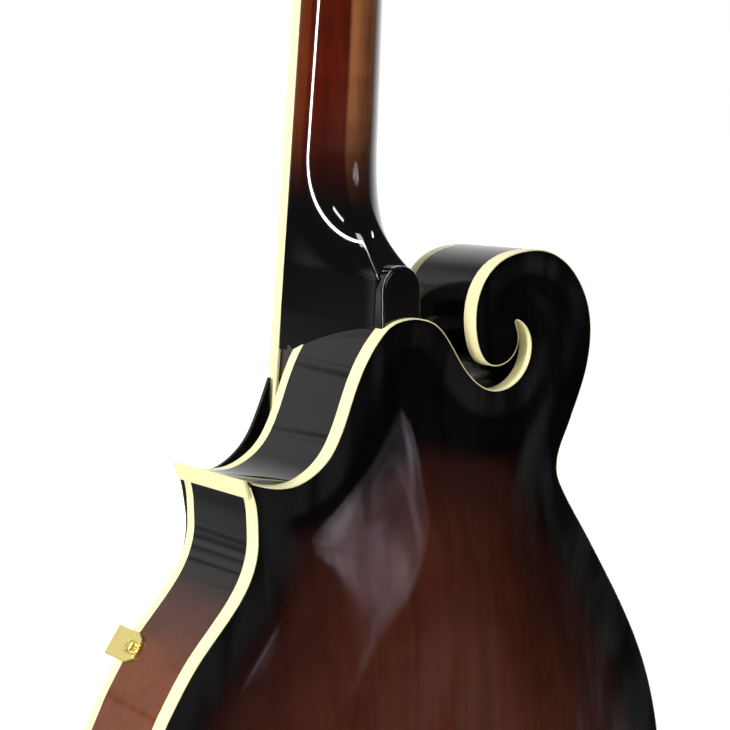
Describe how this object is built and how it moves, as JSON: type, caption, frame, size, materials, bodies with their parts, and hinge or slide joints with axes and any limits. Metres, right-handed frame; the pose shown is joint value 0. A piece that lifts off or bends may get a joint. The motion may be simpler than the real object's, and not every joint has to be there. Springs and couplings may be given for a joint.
{
  "type": "mandolin",
  "caption": "Carved-top mandolin with a body scroll, two body points, cream-bound edges, worm-gear tuners, adjustable bridge, tailpiece and raised pickguard.",
  "frame": {"origin": "back of the neck behind the nut, where a wall hanger yoke carries the instrument", "axes": "+Z along the neck towards the headstock, -Y is the side with the strings, +X is the treble side with the two body points"},
  "size_m": [0.253, 0.107, 0.7058],
  "materials": {
    "cream_binding": "glossy cream celluloid-like plastic",
    "maple_burst": "gloss lacquer over a black to dark red-brown sunburst on maple",
    "rosewood": "satin oiled dark rosewood",
    "gold_plate": "bright gold plating",
    "black_plastic": "gloss black plastic",
    "block_wood": "bare unfinished wood",
    "neck_maple": "gloss lacquer, dark red-brown fading to black at the heel",
    "bone": "polished bone",
    "rib_maple": "gloss lacquer, black fading to brown on flamed maple",
    "bronze_string": "wound bronze",
    "steel": "plain bright steel",
    "spruce_burst": "gloss lacquer over a brown to amber sunburst on spruce",
    "pearloid": "pearl-like plastic buttons on plated shafts"
  },
  "bodies": {
    "instrument": {"back_binding": "cream_binding", "back_plate": "maple_burst", "bridge_base": "rosewood", "clamp_screw": "gold_plate", "end_pin": "black_plastic", "fretboard": "rosewood", "fretboard_binding": "cream_binding", "headstock_veneer": "black_plastic", "lower_point_block": "block_wood", "lower_point_cap": "cream_binding", "neck": "neck_maple", "neck_block": "block_wood", "nut": "bone", "pickguard": "black_plastic", "pickguard_clamp": "gold_plate", "rib_between_points": "rib_maple", "rib_lower_bout": "rib_maple", "rib_scroll": "rib_maple", "rib_upper_treble": "rib_maple", "string_1": "bronze_string", "string_2": "bronze_string", "string_3": "bronze_string", "string_4": "bronze_string", "string_5": "steel", "string_6": "steel", "string_7": "steel", "string_8": "steel", "tail_block": "block_wood", "tailpiece_base": "gold_plate", "tone_bar_bass": "block_wood", "tone_bar_treble": "block_wood", "top_binding": "cream_binding", "top_plate": "spruce_burst", "truss_rod": "steel", "truss_rod_cover": "black_plastic", "tuner_plate_bass": "gold_plate", "tuner_plate_treble": "gold_plate", "upper_point_block": "block_wood", "upper_point_cap": "cream_binding"},
    "key_1": {"tuner_key_1": "pearloid"},
    "post_1": {"string_post_1": "gold_plate"},
    "key_2": {"tuner_key_2": "pearloid"},
    "post_2": {"string_post_2": "gold_plate"},
    "key_3": {"tuner_key_3": "pearloid"},
    "post_3": {"string_post_3": "gold_plate"},
    "key_4": {"tuner_key_4": "pearloid"},
    "post_4": {"string_post_4": "gold_plate"},
    "key_5": {"tuner_key_5": "pearloid"},
    "post_5": {"string_post_5": "gold_plate"},
    "key_6": {"tuner_key_6": "pearloid"},
    "post_6": {"string_post_6": "gold_plate"},
    "key_7": {"tuner_key_7": "pearloid"},
    "post_7": {"string_post_7": "gold_plate"},
    "key_8": {"tuner_key_8": "pearloid"},
    "post_8": {"string_post_8": "gold_plate"},
    "saddle": {"bridge_saddle": "rosewood"},
    "wheel_bass": {"thumbwheel_bass": "steel"},
    "wheel_treble": {"thumbwheel_treble": "steel"},
    "tailpiece_cover": {"tailpiece_cover": "gold_plate"},
    "truss_nut": {"truss_nut": "gold_plate"}
  },
  "joints": [
    {"name": "key_turn_1", "type": "hinge", "parent": "instrument", "child": "key_1", "pos_m": [-0.023, 0.01419, 0.0283], "axis": [-1, 0, 0], "continuous": true},
    {"name": "post_turn_1", "type": "hinge", "parent": "instrument", "child": "post_1", "pos_m": [-0.023, -0.00072, 0.04267], "axis": [0, 0.9483, -0.3173], "continuous": true},
    {"name": "key_turn_2", "type": "hinge", "parent": "instrument", "child": "key_2", "pos_m": [-0.023, 0.02149, 0.05011], "axis": [-1, 0, 0], "continuous": true},
    {"name": "post_turn_2", "type": "hinge", "parent": "instrument", "child": "post_2", "pos_m": [-0.023, 0.00658, 0.06449], "axis": [0, 0.9483, -0.3173], "continuous": true},
    {"name": "key_turn_3", "type": "hinge", "parent": "instrument", "child": "key_3", "pos_m": [-0.023, 0.02878, 0.07192], "axis": [-1, 0, 0], "continuous": true},
    {"name": "post_turn_3", "type": "hinge", "parent": "instrument", "child": "post_3", "pos_m": [-0.023, 0.01388, 0.0863], "axis": [0, 0.9483, -0.3173], "continuous": true},
    {"name": "key_turn_4", "type": "hinge", "parent": "instrument", "child": "key_4", "pos_m": [-0.023, 0.03608, 0.09373], "axis": [-1, 0, 0], "continuous": true},
    {"name": "post_turn_4", "type": "hinge", "parent": "instrument", "child": "post_4", "pos_m": [-0.023, 0.02117, 0.10811], "axis": [0, 0.9483, -0.3173], "continuous": true},
    {"name": "key_turn_5", "type": "hinge", "parent": "instrument", "child": "key_5", "pos_m": [0.023, 0.03608, 0.09373], "axis": [1, 0, 0], "continuous": true},
    {"name": "post_turn_5", "type": "hinge", "parent": "instrument", "child": "post_5", "pos_m": [0.023, 0.02117, 0.10811], "axis": [0, 0.9483, -0.3173], "continuous": true},
    {"name": "key_turn_6", "type": "hinge", "parent": "instrument", "child": "key_6", "pos_m": [0.023, 0.02878, 0.07192], "axis": [1, 0, 0], "continuous": true},
    {"name": "post_turn_6", "type": "hinge", "parent": "instrument", "child": "post_6", "pos_m": [0.023, 0.01388, 0.0863], "axis": [0, 0.9483, -0.3173], "continuous": true},
    {"name": "key_turn_7", "type": "hinge", "parent": "instrument", "child": "key_7", "pos_m": [0.023, 0.02149, 0.05011], "axis": [1, 0, 0], "continuous": true},
    {"name": "post_turn_7", "type": "hinge", "parent": "instrument", "child": "post_7", "pos_m": [0.023, 0.00658, 0.06449], "axis": [0, 0.9483, -0.3173], "continuous": true},
    {"name": "key_turn_8", "type": "hinge", "parent": "instrument", "child": "key_8", "pos_m": [0.023, 0.01419, 0.0283], "axis": [1, 0, 0], "continuous": true},
    {"name": "post_turn_8", "type": "hinge", "parent": "instrument", "child": "post_8", "pos_m": [0.023, -0.00072, 0.04267], "axis": [0, 0.9483, -0.3173], "continuous": true},
    {"name": "thumbwheel_bass_turn", "type": "hinge", "parent": "saddle", "child": "wheel_bass", "pos_m": [-0.037, -0.04839, -0.35038], "axis": [0, -1, 0], "range_deg": [0, 1286]},
    {"name": "thumbwheel_treble_turn", "type": "hinge", "parent": "saddle", "child": "wheel_treble", "pos_m": [0.037, -0.04839, -0.35038], "axis": [0, -1, 0], "range_deg": [0, 1286]},
    {"name": "saddle_lift", "type": "slide", "parent": "instrument", "child": "saddle", "axis": [0, -1, 0], "range_m": [0, 0.0025], "deforming": ["string_1", "string_2", "string_3", "string_4", "string_5", "string_6", "string_7", "string_8"]},
    {"name": "tailpiece_cover_slide", "type": "slide", "parent": "instrument", "child": "tailpiece_cover", "axis": [0, 0.1392, -0.9903], "range_m": [0, 0.052]},
    {"name": "truss_nut_turn", "type": "hinge", "parent": "instrument", "child": "truss_nut", "pos_m": [0, -0.00903, -0.00057], "axis": [0, 0.0958, 0.9954], "range_deg": [-180, 360]}
  ],
  "couplings": [
    {"joint": "key_turn_1", "follows": "post_turn_1", "ratio": -16},
    {"joint": "key_turn_2", "follows": "post_turn_2", "ratio": -16},
    {"joint": "key_turn_3", "follows": "post_turn_3", "ratio": -16},
    {"joint": "key_turn_4", "follows": "post_turn_4", "ratio": -16},
    {"joint": "key_turn_5", "follows": "post_turn_5", "ratio": 16},
    {"joint": "key_turn_6", "follows": "post_turn_6", "ratio": 16},
    {"joint": "key_turn_7", "follows": "post_turn_7", "ratio": 16},
    {"joint": "key_turn_8", "follows": "post_turn_8", "ratio": 16},
    {"joint": "thumbwheel_bass_turn", "follows": "saddle_lift", "rad_per_m": 8976},
    {"joint": "thumbwheel_treble_turn", "follows": "saddle_lift", "rad_per_m": 8976}
  ]
}
